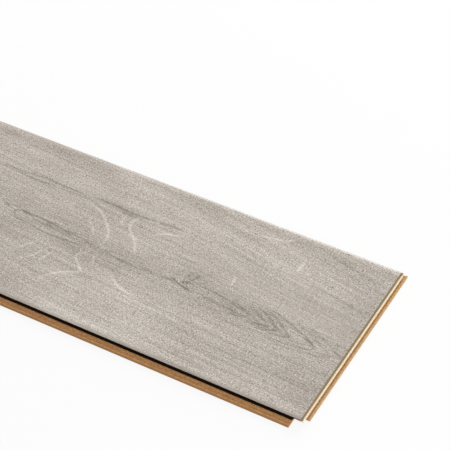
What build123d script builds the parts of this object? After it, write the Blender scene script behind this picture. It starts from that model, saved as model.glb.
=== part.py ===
from build123d import *
import os

os.makedirs("parts", exist_ok=True)

# Plank: the cover sizes are what shows once the plank is laid, joint plane to joint plane
cover_length = 1380.0
cover_width = 193.0
thickness = 8.0
decor_thickness = 0.3
bevel_width = 2.6  # rolled edge along both long sides
bevel_drop = 0.7
arris_width = 0.9  # eased top edge across both ends
arris_drop = 0.5

# Play between mating planks
fit = 0.05
nose_gap = 0.3  # in front of the tongue's nose
lip_gap = 0.3  # beyond the outer face of a locking lip

# Long edges: a sloped tongue on the far side, its groove and locking lip on the near side
upper_lip = 2.0  # from the top face down to the groove
tongue_height = 3.4
tongue_flat = 0.5
tongue_reach = 3.0
nose_radius_reach = 0.4  # how far the round nose stands out past its shoulder
nose_top = 4.1
nose_bottom = 2.9
lip_reach = 6.8
lip_pad = 1.2  # flat of the lip that carries the tongue, out from the joint plane
lip_valley = 1.9  # height of the lip's valley above the floor
valley_slope = 0.7
lock_slope = 0.5
ridge_height = 3.0
ridge_width = 1.9
ridge_round = 0.4
foot_chamfer = 0.3

# Short ends: a fold-down joint with a locking strip at one end and a snap tongue above it
strip_reach = 4.1
strip_valley = 1.6
strip_ridge_height = 2.4
strip_ridge_width = 1.4
strip_lock_slope = 0.3
snap_top = 3.2  # from the top face down to the snap tongue
snap_thickness = 1.5
snap_reach = 1.3
snap_seat = 5.5  # width of the snap tongue inside its slot
snap_slope = 0.6  # lead-in on the snap tongue's upper edge
snap_spring = 1.2  # room behind the snap tongue to let it move in
snap_end = 1.5  # bare slot at each end of the snap tongue

# Corner relief where the lip and the strip would meet
relief_length = 8.2
relief_width = 7.8

# Places worked out from the sizes: the origin is under the middle of the whole plank
strip_end_x = (cover_length - strip_reach) / 2
plain_end_x = strip_end_x - cover_length
groove_y = (lip_reach - tongue_reach - cover_width) / 2
tongue_y = groove_y + cover_width
core_top = thickness - decor_thickness
groove_top = thickness - upper_lip
groove_bottom = groove_top - tongue_height
tongue_top = groove_top - fit
tongue_bottom = groove_bottom + fit
nose_middle = (nose_top + nose_bottom) / 2
nose_shoulder = tongue_reach - nose_radius_reach
lock_top = lip_reach - ridge_width
lock_foot = lock_top - lock_slope
strip_lock_top = strip_reach - strip_ridge_width
strip_lock_foot = strip_lock_top - strip_lock_slope
slot_top = thickness - snap_top + fit
slot_bottom = slot_top - snap_thickness - fit
slot_depth = snap_seat + snap_spring
beyond = 5.0  # how far a cut runs clear of the plank


def near(out, height):
    # Point of a section across the plank, measured out from the groove side's joint plane
    return (groove_y - out, height)


def far(out, height):
    # Point of a section across the plank, measured out from the tongue side's joint plane
    return (tongue_y + out, height)


def strip_end(out, height):
    # Point of a section along the plank, measured out from the strip end's joint plane
    return (strip_end_x + out, height)


def plain_end(out, height):
    # Point of a section along the plank, measured out from the plain end's joint plane
    return (plain_end_x - out, height)


def upright_plane(y):
    # Plane of a section along the plank, facing the groove side
    return Plane(origin=(0, y, 0), x_dir=(1, 0, 0), z_dir=(0, -1, 0))


def rolled_top(top):
    # Top line of a section across the plank, from far joint plane to near joint plane
    TangentArc(far(-bevel_width, top), far(0, top - bevel_drop), tangent=(1, 0))
    Line(far(-bevel_width, top), near(-bevel_width, top))
    TangentArc(near(-bevel_width, top), near(0, top - bevel_drop), tangent=(-1, 0))


# Slanted cut across the top edge of both ends
with BuildSketch(upright_plane(tongue_y + beyond)) as eased_edges:
    for end in (strip_end, plain_end):
        with BuildLine():
            Polyline(
                end(-arris_width, thickness),
                end(0, thickness),
                end(0, thickness - arris_drop),
                close=True,
            )
        make_face()


with BuildPart() as hdf_core:
    # Section across the plank: rolled top, groove and lip on one side, tongue on the other
    with BuildSketch(Plane.YZ.offset(plain_end_x)):
        with BuildLine():
            rolled_top(core_top)
            Polyline(
                near(0, core_top - bevel_drop),
                near(0, groove_top),
                near(-tongue_flat, groove_top),
                near(-nose_shoulder - nose_gap, nose_top + fit),
            )
            ThreePointArc(
                near(-nose_shoulder - nose_gap, nose_top + fit),
                near(-tongue_reach - nose_gap, nose_middle),
                near(-nose_shoulder - nose_gap, nose_bottom - fit),
            )
            Polyline(
                near(-nose_shoulder - nose_gap, nose_bottom - fit),
                near(-tongue_flat, groove_bottom),
                near(lip_pad, groove_bottom),
                near(lip_pad + valley_slope, lip_valley),
                near(lock_foot, lip_valley),
                near(lock_top, ridge_height),
                near(lip_reach - ridge_round, ridge_height),
            )
            TangentArc(
                near(lip_reach - ridge_round, ridge_height),
                near(lip_reach, ridge_height - ridge_round),
                tangent=(-1, 0),
            )
            Polyline(
                near(lip_reach, ridge_height - ridge_round),
                near(lip_reach, foot_chamfer),
                near(lip_reach - foot_chamfer, 0),
                far(-lip_reach - lip_gap, 0),
                far(-lip_reach - lip_gap, ridge_height + fit),
                far(-lock_top + fit, ridge_height + fit),
                far(-lock_foot + fit, lip_valley + fit),
                far(-lip_pad - valley_slope - fit, lip_valley + fit),
                far(-lip_pad - fit, tongue_bottom),
                far(tongue_flat, tongue_bottom),
                far(nose_shoulder, nose_bottom),
            )
            ThreePointArc(
                far(nose_shoulder, nose_bottom),
                far(tongue_reach, nose_middle),
                far(nose_shoulder, nose_top),
            )
            Polyline(
                far(nose_shoulder, nose_top),
                far(tongue_flat, tongue_top),
                far(0, tongue_top),
                far(0, core_top - bevel_drop),
            )
        make_face()
    extrude(amount=cover_length)

    # Plain end: recess over a neighbour's strip, and the notch its snap tongue clicks into
    with BuildSketch(upright_plane(tongue_y + beyond)):
        with BuildLine():
            Polyline(
                plain_end(0, 0),
                plain_end(0, strip_valley + fit),
                plain_end(-strip_lock_foot + fit, strip_valley + fit),
                plain_end(-strip_lock_top + fit, strip_ridge_height + fit),
                plain_end(-strip_reach - lip_gap, strip_ridge_height + fit),
                plain_end(-strip_reach - lip_gap, 0),
                close=True,
            )
        make_face()
        with BuildLine():
            Polyline(
                plain_end(0, slot_bottom - fit),
                plain_end(0, slot_top + fit),
                plain_end(-snap_reach - fit, slot_top + fit),
                plain_end(-snap_reach - fit, slot_bottom - fit),
                close=True,
            )
        make_face()
    extrude(amount=cover_width + lip_reach + 2 * beyond, mode=Mode.SUBTRACT)

    # Strip end: slot for the snap tongue, open on the groove side
    with BuildSketch(upright_plane(tongue_y)):
        with BuildLine():
            Polyline(
                strip_end(0, slot_bottom),
                strip_end(0, slot_top),
                strip_end(-slot_depth, slot_top),
                strip_end(-slot_depth, slot_bottom),
                close=True,
            )
        make_face()
    extrude(amount=cover_width, mode=Mode.SUBTRACT)

    # Locking strip, from the corner relief to the line of the tongue's nose
    with BuildSketch(upright_plane(tongue_y + tongue_reach)):
        with BuildLine():
            Polyline(
                strip_end(0, 0),
                strip_end(0, strip_valley),
                strip_end(strip_lock_foot, strip_valley),
                strip_end(strip_lock_top, strip_ridge_height),
                strip_end(strip_reach - foot_chamfer, strip_ridge_height),
                strip_end(strip_reach, strip_ridge_height - foot_chamfer),
                strip_end(strip_reach, foot_chamfer),
                strip_end(strip_reach - foot_chamfer, 0),
                close=True,
            )
        make_face()
    extrude(amount=cover_width + tongue_reach - relief_width)

    # Corner relief through the lip, the strip and the floor of the groove
    with BuildSketch():
        with BuildLine():
            Polyline(
                (strip_end_x - relief_length, groove_y + relief_width),
                (strip_end_x + beyond, groove_y + relief_width),
                (strip_end_x + beyond, groove_y - lip_reach - beyond),
                (strip_end_x - relief_length, groove_y - lip_reach - beyond),
                close=True,
            )
        make_face()
    extrude(amount=ridge_height, mode=Mode.SUBTRACT)

    extrude(eased_edges.sketch, amount=cover_width + 2 * beyond, mode=Mode.SUBTRACT)

hdf_core.part.label = "hdf_core"
export_step(hdf_core.part, "parts/hdf_core.step")


with BuildPart() as decor_layer:
    # Printed top layer, pressed down over both rolled edges
    with BuildSketch(Plane.YZ.offset(plain_end_x)):
        with BuildLine():
            rolled_top(thickness)
            Line(near(0, thickness - bevel_drop), near(0, core_top - bevel_drop))
            rolled_top(core_top)
            Line(far(0, thickness - bevel_drop), far(0, core_top - bevel_drop))
        make_face()
    extrude(amount=cover_length)
    extrude(eased_edges.sketch, amount=cover_width + 2 * beyond, mode=Mode.SUBTRACT)

decor_layer.part.label = "decor_layer"
export_step(decor_layer.part, "parts/decor_layer.step")


with BuildPart() as snap_tongue:
    # Flat strip lying on the slot's floor, with a slanted upper nose standing out of the end
    with BuildSketch(upright_plane(tongue_y - snap_end)):
        with BuildLine():
            Polyline(
                strip_end(-snap_seat, slot_bottom),
                strip_end(snap_reach, slot_bottom),
                strip_end(snap_reach, slot_bottom + snap_thickness - snap_slope),
                strip_end(snap_reach - snap_slope, slot_bottom + snap_thickness),
                strip_end(-snap_seat, slot_bottom + snap_thickness),
                close=True,
            )
        make_face()
    extrude(amount=cover_width - 2 * snap_end)

snap_tongue.part.label = "snap_tongue"
export_step(snap_tongue.part, "parts/snap_tongue.step")
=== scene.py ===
import math

import bmesh
import bpy
import numpy as np
from mathutils import Matrix, Vector


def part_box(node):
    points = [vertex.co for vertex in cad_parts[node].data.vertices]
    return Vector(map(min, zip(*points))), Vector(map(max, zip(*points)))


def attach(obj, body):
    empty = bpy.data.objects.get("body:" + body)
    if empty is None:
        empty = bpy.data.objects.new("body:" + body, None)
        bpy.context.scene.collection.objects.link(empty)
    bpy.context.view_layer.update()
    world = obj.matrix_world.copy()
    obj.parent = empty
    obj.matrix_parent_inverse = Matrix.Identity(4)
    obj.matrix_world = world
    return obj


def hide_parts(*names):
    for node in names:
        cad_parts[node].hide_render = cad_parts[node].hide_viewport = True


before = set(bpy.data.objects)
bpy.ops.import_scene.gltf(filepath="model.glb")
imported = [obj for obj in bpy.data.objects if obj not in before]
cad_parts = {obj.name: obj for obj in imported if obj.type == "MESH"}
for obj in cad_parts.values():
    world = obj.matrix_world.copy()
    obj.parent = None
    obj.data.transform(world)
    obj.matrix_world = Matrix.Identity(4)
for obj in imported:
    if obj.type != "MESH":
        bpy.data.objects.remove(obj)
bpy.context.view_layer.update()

mm = 0.001
nearlySame = 0.01 * mm   # places closer than this count as one
decorLow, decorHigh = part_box("decor_layer")
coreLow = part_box("hdf_core")[0]
endX = decorHigh[0]      # joint plane of the strip end
plainX = decorLow[0]     # joint plane of the plain end
nearY = decorLow[1]      # joint plane of the groove side
farY = decorHigh[1]      # joint plane of the tongue side
topZ = decorHigh[2]
print("frame loaded:", len(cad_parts), "nodes")


# Small helpers for node trees and colours

white = (1.0, 1.0, 1.0, 1.0)
screenTop = 255.0        # brightest screen level
screenGamma = 2.2
noiseMiddle = 0.5
fadeOut = (1.0, 0.0)


class NodeKit:
    # Short names for the nodes that the looks are built from
    def __init__(self, owner):
        self.tree = owner.node_tree

    def node(self, kind, **settings):
        made = self.tree.nodes.new(kind)
        for name, value in settings.items():
            setattr(made, name, value)
        return made

    def put(self, socket, value):
        if isinstance(value, bpy.types.NodeSocket):
            self.tree.links.new(value, socket)
        else:
            socket.default_value = value

    def objectCoords(self):
        return self.node("ShaderNodeTexCoord").outputs["Object"]

    def attribute(self, name):
        return self.node("ShaderNodeAttribute", attribute_name=name).outputs["Fac"]

    def split(self, vector):
        parts = self.node("ShaderNodeSeparateXYZ")
        self.put(parts.inputs[0], vector)
        return parts.outputs[0], parts.outputs[1], parts.outputs[2]

    def flat(self, x, y):
        joined = self.node("ShaderNodeCombineXYZ")
        self.put(joined.inputs[0], x)
        self.put(joined.inputs[1], y)
        return joined.outputs[0]

    def math(self, operation, a, b=0.0, clamp=False):
        made = self.node("ShaderNodeMath", operation=operation, use_clamp=clamp)
        self.put(made.inputs[0], a)
        self.put(made.inputs[1], b)
        return made.outputs[0]

    def plus(self, total, *others):
        for other in others:
            total = self.math("ADD", total, other)
        return total

    def minus(self, a, b):
        return self.math("SUBTRACT", a, b)

    def times(self, product, *others):
        for other in others:
            product = self.math("MULTIPLY", product, other)
        return product

    def inset(self, value, low, high):
        # How far a place lies inside two limits
        return self.math("MINIMUM", self.minus(high, value), self.minus(value, low))

    def noise(self, vector, factors, detail, roughness):
        stretched = self.node("ShaderNodeVectorMath", operation="MULTIPLY")
        self.put(stretched.inputs[0], vector)
        stretched.inputs[1].default_value = factors
        made = self.node("ShaderNodeTexNoise")
        self.put(made.inputs["Vector"], stretched.outputs[0])
        made.inputs["Scale"].default_value = 1.0
        made.inputs["Detail"].default_value = detail
        made.inputs["Roughness"].default_value = roughness
        return made.outputs["Fac"]

    def ramp(self, value, limits, results=(0.0, 1.0), smooth=True):
        made = self.node("ShaderNodeMapRange", interpolation_type="SMOOTHSTEP" if smooth else "LINEAR")
        self.put(made.inputs["Value"], value)
        made.inputs["From Min"].default_value = limits[0]
        made.inputs["From Max"].default_value = limits[1]
        made.inputs["To Min"].default_value = results[0]
        made.inputs["To Max"].default_value = results[1]
        return made.outputs["Result"]

    def mixColour(self, factor, a, b, blend="MIX"):
        made = self.node("ShaderNodeMix", data_type="RGBA", blend_type=blend)
        self.put(made.inputs[0], factor)
        self.put(made.inputs[6], a)     # the node's colour sockets
        self.put(made.inputs[7], b)
        return made.outputs[2]

    def bump(self, height, strength, distance):
        made = self.node("ShaderNodeBump")
        made.inputs["Strength"].default_value = strength
        made.inputs["Distance"].default_value = distance
        self.put(made.inputs["Height"], height)
        return made.outputs["Normal"]


def newMaterial(name, shaderKind="ShaderNodeBsdfPrincipled"):
    # Material with one shader wired to its output
    material = bpy.data.materials.new(name)
    material.use_nodes = True
    material.node_tree.nodes.clear()
    kit = NodeKit(material)
    shader = kit.node(shaderKind)
    output = kit.node("ShaderNodeOutputMaterial")
    kit.put(output.inputs["Surface"], shader.outputs[0])
    return material, kit, shader


def srgb(red, green, blue):
    # Colour picked in screen levels, as linear light
    def linear(value):
        share = value / screenTop
        return share / 12.92 if share <= 0.04045 else ((share + 0.055) / 1.055) ** 2.4
    return (linear(red), linear(green), linear(blue), 1.0)


def smoothStep(low, high, value):
    share = np.clip((value - low) / (high - low), 0, 1)
    return share * share * (3 - 2 * share)


# Grain of the printed oak: along is mm from the strip end, across is mm from the groove side

grain = {
    "heartAlong": -195.0,     # where the print's heart comes up to the face
    "heartAcross": 86.0,
    "heartSlope": -0.072,     # the heart line drifts towards the groove side
    "heartWave": 7.0,
    "waveLength": 900.0,
    "dip": 0.08,              # how fast the rings sink below the face along the plank
    "dipPeriod": 660.0,
    "fanStart": -190.0,       # lines above the heart fall towards the strip end
    "fanSlope": 0.13,
    "fanFrom": 12.0,          # from the heart
    "fanFull": 60.0,
    "knotAlong": -160.0,
    "knotAcross": 88.0,
    "knotLift": 2.6,
    "knotLength": 14.0,
    "knotWidth": 20.0,
    "knotTurn": 3.0,          # over which the lift changes sides
}

# How a stroke is laid down
brush = {
    "curveSteps": 10,         # between two points of a stroke
    "bleed": 0.15,            # added to each stroke's width
    "reach": 3.0,             # in widths, past which nothing is drawn
    "margin": 1.0,            # mm beyond that
    "tipLeft": 0.35,          # share of the stroke left at its tips
    "tipRise": 4.0,           # how soon the stroke is whole again
}

# Pale ray flecks that cross the grain: width, then a few points (along, across)
rayFlecks = [
    (0.9, [(-292, 136.5), (-276, 132), (-262, 122), (-253, 112), (-249, 103), (-249.5, 95)]),
    (0.9, [(-238, 140), (-240, 132), (-238, 124), (-229, 115.5), (-222, 107), (-217, 97)]),
    (0.6, [(-250, 139), (-248, 124)]),
    (0.6, [(-276, 116), (-268, 109), (-262, 101)]),
    (0.7, [(-192, 137), (-205, 134), (-216, 126)]),
    (0.9, [(-254, 80), (-261, 71), (-253, 62), (-247, 55.5), (-259, 49), (-268, 41), (-275, 32)]),
    (0.6, [(-247, 79), (-242, 68)]),
    (0.9, [(-220, 64), (-205, 55), (-186, 51)]),
    (0.7, [(-302, 70), (-312, 54)]),
    (0.7, [(-291, 63), (-296, 51), (-306, 43)]),
    (0.6, [(-283, 63), (-287, 50)]),
    (0.9, [(-101, 183), (-110, 177), (-130, 174)]),
    (1.0, [(-80, 163), (-81, 149)]),
    (0.8, [(-125, 117), (-123, 105)]),
]

# Dark strokes of the print: width, depth in screen levels, then points
darkStrokes = [
    # Two broken cracks above the heart
    (0.8, 26, [(-395, 142), (-357, 142.7), (-342, 144), (-318, 143.2), (-295, 143.4)]),
    (0.9, 26, [(-290, 143.4), (-270, 143.8), (-254, 143), (-238, 142.5), (-215, 144)]),
    (1.0, 22, [(-392, 141), (-370, 140.2), (-352, 137.8), (-330, 139)]),
    (0.8, 22, [(-322, 139.2), (-295, 139.6), (-279, 137.8)]),
    (1.6, 24, [(-256, 139.5), (-249, 138.5), (-240, 138)]),
    (1.1, 28, [(-220, 143.4), (-208, 144.3), (-194, 145)]),
    (1.4, 24, [(-244, 141.6), (-232, 142.4)]),
    (0.8, 18, [(-212, 138), (-196, 138.6)]),
    # Long lens on the left and the dark line that leaves it
    (0.9, 26, [(-356, 97.5), (-345, 99), (-338, 101)]),
    (0.9, 31, [(-341, 90), (-341.5, 94), (-335, 96.3), (-308, 95.9), (-289, 93), (-265, 92.4)]),
    (0.9, 23, [(-341, 90), (-333, 86.5), (-314, 84), (-289, 82.7), (-262, 84)]),
    (2.2, 13, [(-322, 92), (-300, 91.5), (-282, 91.6)]),
    (2.2, 11, [(-276, 92), (-250, 88.5), (-222, 85), (-204, 84), (-186, 84.6)]),
    # Knot with its fan of lines
    (1.2, 35, [(-186, 84.6), (-169, 85.9), (-160, 84), (-150, 80.9)]),
    (1.1, 33, [(-174, 90), (-168, 86.5)]),
    (1.1, 29, [(-160, 86.5), (-155.5, 94), (-152, 103)]),
    (0.9, 16, [(-163, 87.5), (-162, 96), (-160, 104)]),
    (0.9, 16, [(-158, 87), (-150, 93), (-143, 96)]),
    (4.5, 8, [(-162, 86), (-157, 95), (-153, 104)]),
    # Chevrons, tips towards the strip end
    (0.8, 22, [(-154, 92.5), (-130, 91), (-110, 86.5), (-96, 82)]),
    (0.8, 24, [(-140, 82), (-120, 80.5), (-102, 78.5)]),
    (0.9, 22, [(-112, 90), (-99, 85), (-92.5, 81.5), (-98, 77), (-110, 75.4)]),
    (0.9, 24, [(-97, 91.5), (-87, 87), (-77.5, 81.4), (-72.5, 77.8), (-81, 76.4), (-92, 74)]),
    (0.9, 25, [(-90, 94), (-77, 88.6), (-69, 82), (-63.5, 77.8), (-70, 74.2), (-81, 72.4)]),
    (0.9, 24, [(-84, 96), (-68, 88), (-56, 79.4), (-50.5, 75.6), (-58, 73.2), (-70, 71.4)]),
    (0.8, 24, [(-80, 98), (-60, 90.6), (-40, 82.4), (-27, 74.6), (-34, 69.6), (-50, 67.6), (-70, 65.6)]),
    (0.7, 18, [(-62, 97), (-40, 89), (-25, 80.6), (-11.5, 72.6), (-18, 68.4), (-32, 65.6), (-60, 63)]),
    (1.0, 26, [(-77, 88.8), (-69, 82), (-64, 78)]),
    (1.5, 23, [(-55, 78.6), (-50.5, 76)]),
    (1.0, 29, [(-41, 83), (-33.5, 79.3), (-28, 75.6)]),
    (0.7, 14, [(-44, 96), (-24, 87), (-4, 76.5)]),
    # Streaks that fall to the right, and small ticks
    (1.0, 16, [(-62, 139.5), (-34, 135), (-2, 129)]),
    (0.8, 14, [(-40, 131), (-18, 128.5)]),
    (0.9, 15, [(-142, 166), (-118, 162.5)]),
    (1.2, 12, [(-146, 170), (-110, 165), (-84, 159)]),
    (1.0, 15, [(-66, 182), (-44, 176), (-10, 168)]),
    (0.9, 20, [(-179.5, 39), (-179, 32.5)]),
    (0.9, 20, [(-203, 82), (-200, 79.5), (-201, 76.5)]),
    (0.7, 16, [(-243, 52.5), (-234, 52.3)]),
    (0.8, 12, [(-110, 53), (-60, 52), (-4, 51)]),
    (0.7, 12, [(-120, 35), (-70, 33.5), (-8, 29.5)]),
]

# Soft patches and bands of tone: along, across, reach along, reach across, screen levels
tonePatches = [
    (-215, 32, 75, 38, 12),
    (-235, 158, 95, 34, 3),
    (-330, 150, 60, 40, 3),
    (-118, 84, 85, 17, -6),
    (-250, 90, 70, 14, -6),
    (-60, 34, 60, 34, -3),
    (-12, 25, 16, 9, -7),
    (-30, 150, 50, 30, -3),
    (-320, 66, 45, 24, -2),
    # Along both long edges: a painted highlight along the far rolled edge with a darker strip inside it,
    # and lighter bands along the near edge
    (-160, 6, 220, 6, 9),
    (-160, 1.3, 900, 1.8, 5),
    (-160, 184, 900, 5, -8),
    (-160, 194, 900, 5.5, 19),
    # Pale lines beside the lens, and the tone of the strip end
    (-292, 85.3, 38, 1.5, 14),
    (-297, 98.6, 30, 1.5, 11),
    (0, 96, 22, 80, -5),
]

# Long dark lines on the stretch beyond the drawn strokes, in mm and screen levels
longLines = {
    "seed": 5,
    "count": 56,
    "along": (-1370.0, -440.0),
    "length": (40.0, 180.0),
    "place": (-95.0, 120.0),      # from the heart
    "width": (0.8, 1.3),
    "depth": (7.0, 17.0),
    "waver": 0.8,
    "stops": 5,
    "lastAlong": -415.0,
}


def heartLine(along):
    # Where the heart lies across the face, in mm
    phase = 2 * np.pi * (along - grain["heartAlong"]) / grain["waveLength"]
    drift = grain["heartSlope"] * (along - grain["heartAlong"])
    return grain["heartAcross"] + drift + grain["heartWave"] * (1 - np.cos(phase)) / 2


def drawLongLines():
    draw = np.random.default_rng(longLines["seed"])
    strokes = []
    for _ in range(longLines["count"]):
        start = draw.uniform(*longLines["along"])
        end = min(start + draw.uniform(*longLines["length"]), longLines["lastAlong"])
        stops = np.linspace(start, end, longLines["stops"])
        waver = draw.uniform(-longLines["waver"], longLines["waver"], longLines["stops"])
        across = heartLine(stops) + draw.uniform(*longLines["place"]) + waver
        width = draw.uniform(*longLines["width"])
        depth = draw.uniform(*longLines["depth"])
        strokes.append((width, depth, list(zip(stops, across))))
    return strokes


def grainFields(along, across):
    # Signed place across the drawn grain, and distance from the heart, both in mm
    place = across - heartLine(along)
    fan = grain["fanSlope"] * np.maximum(along - grain["fanStart"], 0)
    place = place + fan * smoothStep(grain["fanFrom"], grain["fanFull"], place)
    knotPlace = across - grain["knotAcross"]
    lift = grain["knotLift"] * np.exp(
        -((along - grain["knotAlong"]) / grain["knotLength"]) ** 2
        - (knotPlace / grain["knotWidth"]) ** 2
    )
    place = place - lift * np.tanh(knotPlace / grain["knotTurn"])
    turn = np.pi * (along - grain["heartAlong"]) / grain["dipPeriod"]
    depth = grain["dip"] * grain["dipPeriod"] / np.pi * np.abs(np.sin(turn))
    return place, np.sqrt(place ** 2 + depth ** 2)


def smoothCurve(points):
    # Catmull-Rom curve through a few points
    path = [np.array(point, float) for point in points]
    path = [2 * path[0] - path[1]] + path + [2 * path[-1] - path[-2]]
    steps = brush["curveSteps"]
    curve = []
    for before, start, end, after in zip(path, path[1:], path[2:], path[3:]):
        for step in range(steps):
            t = step / steps
            curve.append(0.5 * (2 * start + (end - before) * t
                                + (2 * before - 5 * start + 4 * end - after) * t ** 2
                                + (3 * start - before - 3 * end + after) * t ** 3))
    curve.append(path[-2])
    return np.array(curve)


def strokeField(along, across, points, width):
    # Where the stroke lies, and how much of it there is, 0 to 1
    curve = smoothCurve(points)
    reach = brush["reach"] * width + brush["margin"]
    low = curve.min(axis=0) - reach
    high = curve.max(axis=0) + reach
    near = (along > low[0]) & (along < high[0]) & (across > low[1]) & (across < high[1])
    a, w = along[near], across[near]
    nearest = np.full(a.shape, np.inf)
    place = np.zeros(a.shape)
    for index, (start, end) in enumerate(zip(curve, curve[1:])):
        run = end - start
        t = np.clip(((a - start[0]) * run[0] + (w - start[1]) * run[1]) / (run @ run), 0, 1)
        gap = np.hypot(a - start[0] - t * run[0], w - start[1] - t * run[1])
        closer = gap < nearest
        nearest = np.where(closer, gap, nearest)
        place = np.where(closer, (index + t) / (len(curve) - 1), place)
    taper = np.clip(brush["tipRise"] * np.minimum(place, 1 - place) + brush["tipLeft"], 0, 1)
    return near, np.exp(-(nearest / (width + brush["bleed"])) ** 2) * taper


def drawnFields(along, across):
    # Pale flecks 0 to 1, dark strokes and soft tone in screen levels
    pale = np.zeros_like(along)
    dark = np.zeros_like(along)
    tone = np.zeros_like(along)
    for width, points in rayFlecks:
        near, amount = strokeField(along, across, points, width)
        pale[near] = np.maximum(pale[near], amount)
    for width, depth, points in darkStrokes + drawLongLines():
        near, amount = strokeField(along, across, points, width)
        dark[near] = np.maximum(dark[near], depth * amount)
    for a, w, reachAlong, reachAcross, levels in tonePatches:
        tone += levels * np.exp(-((along - a) / reachAlong) ** 2 - ((across - w) / reachAcross) ** 2)
    return pale, dark, tone


# Decor layer: the printed sheet, rolled down at both long sides and eased at both ends

decor = {
    "thickness": 0.3 * mm,
    "bevelWidth": 2.6 * mm,
    "bevelSteps": 6,
    "arrisWidth": 0.9 * mm,
    "arrisDrop": 0.5 * mm,
    "arrisShare": 0.95,             # how much of the sheet's thickness the eased end takes
    "shownLength": 400 * mm,        # finer mesh where the grain has drawn strokes
    "fineStep": 1.1 * mm,
    "coarseStep": 7.0 * mm,
    "sharpAngle": 35.0,             # degrees
    # Noise that runs with the grain: turns per mm along and across it, detail, roughness
    "noise": {
        "cloud": (0.011, 0.03, 2, 0.5),
        "streak": (0.008, 0.28, 3, 0.5),
        "fibre": (0.04, 0.8, 2, 0.5),
        "speck": (0.64, 1.5, 1, 0.6),
        "tick": (0.2, 1.35, 1, 0.5),
        "wobble": (0.03, 0.12, 2, 0.5),
        "band": (0.005, 0.15, 3, 0.5),
    },
    "middle": (191, 182, 171),      # screen levels of the plain print
    "reach": {"cloud": 44.0, "streak": 62.0, "fibre": 55.0, "speck": 224.0},   # in screen levels
    "tick": -34.0,
    "tickRamp": (0.5, 0.72),
    # Growth rings round the heart
    "ring": -26.0,
    "ringPeriod": 1.6,              # mm
    "ringSway": 0.9,
    "ringRise": (0.5, 0.85),
    "lineEnd": (0.88, 1.0),
    "ringFade": (6.0, 34.0),        # mm from the heart
    "ringLeft": 0.2,
    "ringBreaks": (0.38, 0.6),
    # Figure of the stretch beyond the drawn strokes
    "bandRamp": (0.42, 0.68),
    "bandLevels": (4.5, -7.5),
    "arch": 8.0,
    "archPeriod": 7.0,              # mm
    "archSway": 0.8,
    "archRise": (0.3, 0.85),
    "figureSpan": (-440.0, -380.0),  # mm from the strip end, full figure to none
    # Drawn flecks and strokes, on weak fibres and on strong ones
    "fibreRamp": (0.35, 0.65),
    "fleck": (24.5, 35.0),
    "stroke": (1.78, 0.979),
    "strokeTint": (1.0, 0.96, 0.9),
    "denseDepth": 38.0,             # stroke depth at which the pores are weakest
    "denseRamp": (0.15, 0.9),
    "densePores": 0.4,
    # Rolled edges: the press leaves them smoother than the face, and they are also painted darker as shade
    "pressedSpan": (0.8, 1.1),      # in widths of the rolled edge
    "pressed": -12.0,
    "pressedPores": 0.3,
    "pressedRelief": 0.1,
    "pressedGloss": 0.16,
    "pressedCoat": 0.3,
    "coatRoughness": 0.25,
    # Ends, cut through the print; the cut's olive colour is partly its own and partly painted shade
    "cutSpan": (0.75, 1.05),        # in widths of the eased edge
    "cutEdgeShade": srgb(141, 126, 98),
    # Gloss and relief of the face
    "roughRamp": (0.3, 0.75),
    "roughness": (0.46, 0.62),
    "specular": 0.3,
    "reliefStrength": 0.2,
    "reliefDepth": 0.08 * mm,
}


def edgesAt(bm, axis, place):
    # Edges that lie at one place along an axis
    def lies(edge):
        return all(abs(vert.co[axis] - place) < nearlySame for vert in edge.verts)
    return [edge for edge in bm.edges if lies(edge)]


def pullEdges(bm, edges, move):
    # Extrude a row of edges by one step and give back the new row
    made = bmesh.ops.extrude_edge_only(bm, edges=edges)["geom"]
    bmesh.ops.translate(bm, verts=[item for item in made if isinstance(item, bmesh.types.BMVert)], vec=move)
    return [item for item in made if isinstance(item, bmesh.types.BMEdge)]


def sheetMesh():
    width = decor["bevelWidth"]
    flatWidth = farY - nearY - 2 * width
    middle = endX - decor["shownLength"]
    last = endX - decor["arrisWidth"]
    first = plainX + decor["arrisWidth"]

    # Flat of the face: a fine grid where strokes are drawn, pulled on in wider steps to the plain end
    bm = bmesh.new()
    bmesh.ops.create_grid(
        bm,
        x_segments=round((last - middle) / decor["fineStep"]),
        y_segments=round(flatWidth / decor["fineStep"]),
        size=0.5,    # a metre square, before the matrix stretches it
        matrix=Matrix.LocRotScale(((middle + last) / 2, (nearY + farY) / 2, topZ), None,
                                  (last - middle, flatWidth, 1)),
    )
    pullEdges(bm, edgesAt(bm, 0, middle), (first - middle, 0, 0))
    plainRun = [edge for edge in bm.edges if edge.calc_length() > (middle - first) / 2]
    bmesh.ops.subdivide_edges(bm, edges=plainRun, cuts=round((middle - first) / decor["coarseStep"]) - 1,
                              use_grid_fill=True)

    # Both long sides rolled down over an arc
    drop = topZ - decorLow[2] - decor["thickness"]
    radius = (width ** 2 + drop ** 2) / (2 * drop)
    sweep = math.asin(width / radius)
    for side, turn in ((nearY + width, sweep), (farY - width, -sweep)):
        edges = edgesAt(bm, 1, side)
        verts = list({vert for edge in edges for vert in edge.verts})
        bmesh.ops.spin(bm, geom=verts + edges, cent=(0, side, topZ - radius), axis=(1, 0, 0),
                       angle=turn, steps=decor["bevelSteps"])

    # Ends eased and closed, then the underside and the two long edges
    eased = decor["thickness"] * decor["arrisShare"]
    run = eased * decor["arrisWidth"] / decor["arrisDrop"]
    ends = []
    for place, out in ((first, -run), (last, run)):
        row = pullEdges(bm, edgesAt(bm, 0, place), (out, 0, -eased))
        ends += pullEdges(bm, row, (0, 0, eased - decor["thickness"]))
    bmesh.ops.bridge_loops(bm, edges=ends)
    bmesh.ops.holes_fill(bm, edges=[edge for edge in bm.edges if edge.is_boundary])
    bmesh.ops.recalc_face_normals(bm, faces=bm.faces[:])
    mesh = bpy.data.meshes.new("decorSheet")
    bm.to_mesh(mesh)
    bm.free()
    mesh.shade_smooth()
    mesh.set_sharp_from_angle(angle=math.radians(decor["sharpAngle"]))
    return mesh


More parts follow.
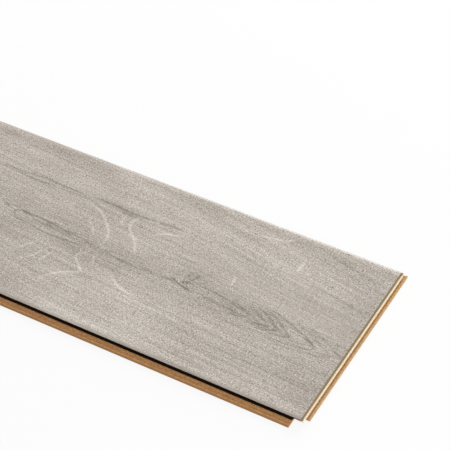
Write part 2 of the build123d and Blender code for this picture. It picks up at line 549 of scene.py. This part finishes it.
def addFields(mesh):
    # The grain and the drawn strokes, kept on the mesh for the material to read
    places = np.empty(len(mesh.vertices) * 3)
    mesh.vertices.foreach_get("co", places)
    places = places.reshape(-1, 3)
    along = (places[:, 0] - endX) / mm
    across = (places[:, 1] - nearY) / mm
    place, distance = grainFields(along, across)
    pale, dark, tone = drawnFields(along, across)
    fields = {"grainPlace": place, "heartDistance": distance,
              "rayFleck": pale, "darkStroke": dark, "tonePatch": tone}
    for name, values in fields.items():
        mesh.attributes.new(name, "FLOAT", "POINT").data.foreach_set("value", values.astype(np.float32))


def decorMaterial():
    material, kit, shader = newMaterial("greyOakPrint")
    x, y, _ = kit.split(kit.objectCoords())
    along = kit.times(x, 1 / mm)
    place = kit.attribute("grainPlace")
    distance = kit.attribute("heartDistance")
    flow = kit.flat(along, place)
    noise = {}
    for name, (perAlong, perAcross, detail, roughness) in decor["noise"].items():
        noise[name] = kit.noise(flow, (perAlong, perAcross, 1), detail, roughness)
    layers = {}
    for name, reach in decor["reach"].items():
        layers[name] = kit.times(kit.minus(noise[name], noiseMiddle), reach)
    ticks = kit.ramp(noise["tick"], decor["tickRamp"], (0.0, decor["tick"]))

    def heartLines(period, sway, rise):
        # One line to each period out from the heart, which darkens slowly and ends sharply
        turns = kit.plus(kit.times(distance, 1 / period), kit.times(noise["wobble"], sway))
        saw = kit.math("FRACT", turns)
        return kit.times(kit.ramp(saw, rise), kit.ramp(saw, decor["lineEnd"], fadeOut))

    # Growth rings, strongest by the heart and broken by the streaks
    rings = kit.times(
        heartLines(decor["ringPeriod"], decor["ringSway"], decor["ringRise"]),
        kit.ramp(kit.math("ABSOLUTE", place), decor["ringFade"], (1.0, decor["ringLeft"])),
        kit.ramp(noise["streak"], decor["ringBreaks"]),
    )

    # Beyond the drawn strokes the figure is broad arches round the heart and long dark bands
    arches = heartLines(decor["archPeriod"], decor["archSway"], decor["archRise"])
    bands = kit.ramp(noise["band"], decor["bandRamp"], decor["bandLevels"])
    beyond = kit.ramp(along, [endX / mm + limit for limit in decor["figureSpan"]], fadeOut)
    figure = kit.times(beyond, kit.minus(bands, kit.times(arches, decor["arch"])))

    # The press leaves the rolled edges smoother than the face, and they are painted darker as shade
    toSide = kit.inset(y, nearY, farY)
    pressed = kit.ramp(toSide, [decor["bevelWidth"] * share for share in decor["pressedSpan"]], fadeOut)

    def lessWherePressed(left):
        return kit.ramp(pressed, (0.0, 1.0), (1.0, left))

    # Flecks and strokes are printed denser, so the pores show less there
    fleckShare = kit.attribute("rayFleck")
    strokeDepth = kit.attribute("darkStroke")
    flecks = kit.times(fleckShare, kit.ramp(noise["fibre"], decor["fibreRamp"], decor["fleck"]))
    strokes = kit.times(strokeDepth, kit.ramp(noise["fibre"], decor["fibreRamp"], decor["stroke"]))
    dense = kit.math("MAXIMUM", fleckShare, kit.math("DIVIDE", strokeDepth, decor["denseDepth"]))
    pores = kit.times(
        kit.plus(layers["speck"], ticks),
        lessWherePressed(decor["pressedPores"]),
        kit.ramp(dense, decor["denseRamp"], (1.0, decor["densePores"])),
    )

    # The sum takes in the painted shade of the rolled edges and the painted highlight of the edge patches
    levels = kit.plus(
        layers["cloud"], layers["streak"], layers["fibre"], pores, flecks, figure,
        kit.attribute("tonePatch"), kit.times(rings, decor["ring"]), kit.times(pressed, decor["pressed"]),
    )
    tint = kit.node("ShaderNodeCombineColor")
    for socket, middle, share in zip(tint.inputs, decor["middle"], decor["strokeTint"]):
        shade = kit.minus(levels, kit.times(strokes, share))
        screen = kit.math("DIVIDE", kit.plus(shade, middle), screenTop, clamp=True)
        kit.put(socket, kit.math("POWER", screen, screenGamma))

    # Both ends are cut through the print; the cut is coloured olive, partly its own colour and partly
    # painted shade
    toEnd = kit.inset(x, plainX, endX)
    cut = kit.ramp(toEnd, [decor["arrisWidth"] * share for share in decor["cutSpan"]], fadeOut)
    kit.put(shader.inputs["Base Color"], kit.mixColour(cut, tint.outputs[0], decor["cutEdgeShade"]))
    kit.put(shader.inputs["Coat Weight"], kit.times(pressed, decor["pressedCoat"]))
    kit.put(shader.inputs["Coat Roughness"], decor["coatRoughness"])
    rough = kit.ramp(noise["tick"], decor["roughRamp"], decor["roughness"])
    kit.put(shader.inputs["Roughness"], kit.minus(rough, kit.times(pressed, decor["pressedGloss"])))
    kit.put(shader.inputs["Specular IOR Level"], decor["specular"])
    relief = kit.times(kit.plus(noise["speck"], noise["tick"]), lessWherePressed(decor["pressedRelief"]))
    kit.put(shader.inputs["Normal"], kit.bump(relief, decor["reliefStrength"], decor["reliefDepth"]))
    return material


def buildDecor():
    mesh = sheetMesh()
    addFields(mesh)
    mesh.materials.append(decorMaterial())
    piece = bpy.data.objects.new("decorSheet", mesh)
    bpy.context.scene.collection.objects.link(piece)
    print("decor sheet:", len(mesh.polygons), "faces")
    return piece


# Fibreboard core: compressed wood fibre, milled edges, kraft balancing sheet underneath

core = {
    # Noise: turns per metre on each axis, detail, roughness
    "fineNoise": ((900, 900, 1800), 3, 0.6),
    "coarseNoise": ((200, 260, 900), 3, 0.5),
    "paperNoise": ((90, 900, 1), 4, 0.6),
    "fibre": srgb(219, 184, 135),
    "darkFibre": srgb(185, 140, 92),
    "fibreRamp": (0.32, 0.66),
    "chip": srgb(228, 190, 142),
    "chipRamp": (0.52, 0.75),
    "chipMost": 0.7,
    # Locking lip, tinted darker and warmer than the ends as painted shade, and its outer face darker
    "lipShadeTint": (1.0, 0.84, 0.72, 1.0),
    "lipSpan": (-0.3 * mm, -0.1 * mm),         # from the groove side's joint plane
    "lipFace": srgb(166, 120, 78),
    "lipFaceSpan": (0.1 * mm, 0.6 * mm),       # from the lip's outer face
    "lipFaceMost": 0.75,
    # Painted shade in the groove, near black, from its mouth to its floor
    "groove": srgb(34, 17, 10),
    "grooveMouth": (-0.06 * mm, -0.02 * mm),   # from the groove side's joint plane
    "grooveFloor": (3.5 * mm, 3.6 * mm),
    "grooveLow": (2.45 * mm, 2.55 * mm),       # heights
    "grooveHigh": (7.03 * mm, 7.05 * mm),
    # Top of both end faces, next to the print, darkened olive as painted shade
    "cutEdgeShade": srgb(134, 119, 91),
    "cutDepth": (0.9 * mm, 1.0 * mm),          # in from the joint plane
    "cutHeight": (5.0 * mm, 5.6 * mm),
    # Sheet underneath
    "paper": srgb(196, 182, 160),
    "paperFibre": srgb(176, 160, 136),
    "paperHeight": (0.15 * mm, 0.135 * mm),
    # Gloss and relief of the milled board
    "roughRamp": (0.3, 0.7),
    "roughness": (0.75, 0.92),
    "specular": 0.15,
    "reliefStrength": 0.35,
    "reliefDepth": 0.12 * mm,
}


def coreMaterial():
    material, kit, shader = newMaterial("fibreboard")
    coords = kit.objectCoords()
    x, y, z = kit.split(coords)
    inwards = kit.minus(y, nearY)
    fine = kit.noise(coords, *core["fineNoise"])
    coarse = kit.noise(coords, *core["coarseNoise"])
    colour = kit.mixColour(kit.ramp(fine, core["fibreRamp"]), core["darkFibre"], core["fibre"])
    chips = kit.ramp(coarse, core["chipRamp"], (0.0, core["chipMost"]))
    colour = kit.mixColour(chips, colour, core["chip"])

    # Painted shade: the lip out past the joint plane is tinted darker and warmer
    lip = kit.ramp(inwards, core["lipSpan"], fadeOut)
    colour = kit.mixColour(lip, colour, core["lipShadeTint"], blend="MULTIPLY")
    lipFace = kit.ramp(kit.minus(y, coreLow[1]), core["lipFaceSpan"], (core["lipFaceMost"], 0.0))
    colour = kit.mixColour(lipFace, colour, core["lipFace"])

    # Painted shade: the groove and the upper lip's face are coloured near black
    groove = kit.times(
        kit.ramp(inwards, core["grooveMouth"]),
        kit.ramp(inwards, core["grooveFloor"], fadeOut),
        kit.ramp(z, core["grooveLow"]),
        kit.ramp(z, core["grooveHigh"], fadeOut),
    )
    colour = kit.mixColour(groove, colour, core["groove"])

    # Painted shade on the upper part of both end faces
    toEnd = kit.math("ABSOLUTE", kit.inset(x, plainX, endX))
    cut = kit.times(kit.ramp(toEnd, core["cutDepth"], fadeOut), kit.ramp(z, core["cutHeight"]))
    colour = kit.mixColour(cut, colour, core["cutEdgeShade"])

    paper = kit.mixColour(kit.noise(coords, *core["paperNoise"]), core["paper"], core["paperFibre"])
    underside = kit.ramp(z, core["paperHeight"], smooth=False)
    colour = kit.mixColour(underside, colour, paper)
    kit.put(shader.inputs["Base Color"], colour)
    kit.put(shader.inputs["Roughness"], kit.ramp(fine, core["roughRamp"], core["roughness"]))
    kit.put(shader.inputs["Specular IOR Level"], core["specular"])
    kit.put(shader.inputs["Normal"], kit.bump(fine, core["reliefStrength"], core["reliefDepth"]))
    return material


# Snap tongue: drawn ivory plastic

snap = {
    "noise": ((2600, 30, 2600), 3, 0.5),
    "ivory": srgb(254, 240, 216),
    "shade": srgb(248, 228, 198),
    "roughRamp": (0.3, 0.7),
    "roughness": (0.38, 0.5),
    "reliefStrength": 0.1,
    "reliefDepth": 0.05 * mm,
}


def snapMaterial():
    material, kit, shader = newMaterial("ivoryPlastic")
    lines = kit.noise(kit.objectCoords(), *snap["noise"])
    kit.put(shader.inputs["Base Color"], kit.mixColour(lines, snap["ivory"], snap["shade"]))
    kit.put(shader.inputs["Roughness"], kit.ramp(lines, snap["roughRamp"], snap["roughness"]))
    kit.put(shader.inputs["Normal"], kit.bump(lines, snap["reliefStrength"], snap["reliefDepth"]))
    return material


decorPiece = buildDecor()
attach(decorPiece, "root")
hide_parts("decor_layer")
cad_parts["hdf_core"].material_slots[0].material = coreMaterial()
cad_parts["snap_tongue"].material_slots[0].material = snapMaterial()
print("materials assigned")


# Floor, light and camera

studio = {
    "floorSize": 12.0,
    "floorGap": 0.5 * mm,
    "floorShade": 0.14,
    "domeStrength": 0.5,
    # Place from the strip end, width and power of each lamp
    "lamps": [
        ("backLamp", (-0.35, 2.1, 1.05), 1.6, 37.0),
        ("sideLamp", (1.5, -0.55, 0.75), 1.0, 13.0),
    ],
    "aim": (-0.2, 0.0, 0.0),
}


def seenRays(kit):
    # 1 for rays from the camera, or by way of gloss or glass, and 0 for plain light
    path = kit.node("ShaderNodeLightPath")
    seen = path.outputs["Is Camera Ray"]
    for name in ("Is Glossy Ray", "Is Transmission Ray"):
        seen = kit.math("MAXIMUM", seen, path.outputs[name])
    return seen


def buildFloor():
    bm = bmesh.new()
    bmesh.ops.create_grid(
        bm,
        x_segments=1,
        y_segments=1,
        size=studio["floorSize"] / 2,
        matrix=Matrix.Translation((0, 0, coreLow[2] - studio["floorGap"])),
    )
    mesh = bpy.data.meshes.new("studioFloor")
    bm.to_mesh(mesh)
    bm.free()
    floor = bpy.data.objects.new("studioFloor", mesh)
    bpy.context.scene.collection.objects.link(floor)

    material, kit, mix = newMaterial("paleFloor", "ShaderNodeMixShader")
    matt = kit.node("ShaderNodeBsdfDiffuse")
    glow = kit.node("ShaderNodeEmission")
    matt.inputs["Color"].default_value = white
    glow.inputs["Color"].default_value = white
    kit.put(mix.inputs[0], kit.times(seenRays(kit), 1 - studio["floorShade"]))
    kit.put(mix.inputs[1], matt.outputs[0])
    kit.put(mix.inputs[2], glow.outputs[0])
    mesh.materials.append(material)


def buildWorld():
    world = bpy.data.worlds.new("softDome")
    world.use_nodes = True
    bpy.context.scene.world = world
    kit = NodeKit(world)
    background = world.node_tree.nodes["Background"]
    background.inputs["Color"].default_value = white
    strength = kit.ramp(seenRays(kit), (0.0, 1.0), (studio["domeStrength"], 1.0), smooth=False)
    kit.put(background.inputs["Strength"], strength)


def buildLamps():
    aim = Vector(studio["aim"])
    for name, place, size, power in studio["lamps"]:
        light = bpy.data.lights.new(name, "AREA")
        light.shape = "SQUARE"
        light.size = size
        light.energy = power
        lamp = bpy.data.objects.new(name, light)
        lamp.location = Vector(place) + Vector((endX, 0, 0))
        lamp.rotation_euler = (aim - Vector(place)).to_track_quat("-Z", "Y").to_euler()
        bpy.context.scene.collection.objects.link(lamp)


view = {
    "place": (1.0590, -0.8829, 1.0334),
    "azimuth": 29.239,      # degrees
    "elevation": 43.042,
    "lens": 133.16,         # mm
    "sensorWidth": 36.0,
    "clipEnd": 50.0,
}


def buildCamera():
    data = bpy.data.cameras.new("photoView")
    data.sensor_width = view["sensorWidth"]
    data.lens = view["lens"]
    data.clip_end = view["clipEnd"]
    camera = bpy.data.objects.new("photoView", data)
    camera.location = view["place"]
    camera.rotation_euler = (math.radians(90 - view["elevation"]), 0, math.radians(view["azimuth"]))
    bpy.context.scene.collection.objects.link(camera)
    bpy.context.scene.camera = camera


buildFloor()
buildWorld()
buildLamps()
buildCamera()
bpy.context.scene.view_settings.view_transform = "Standard"
print("studio and camera set")
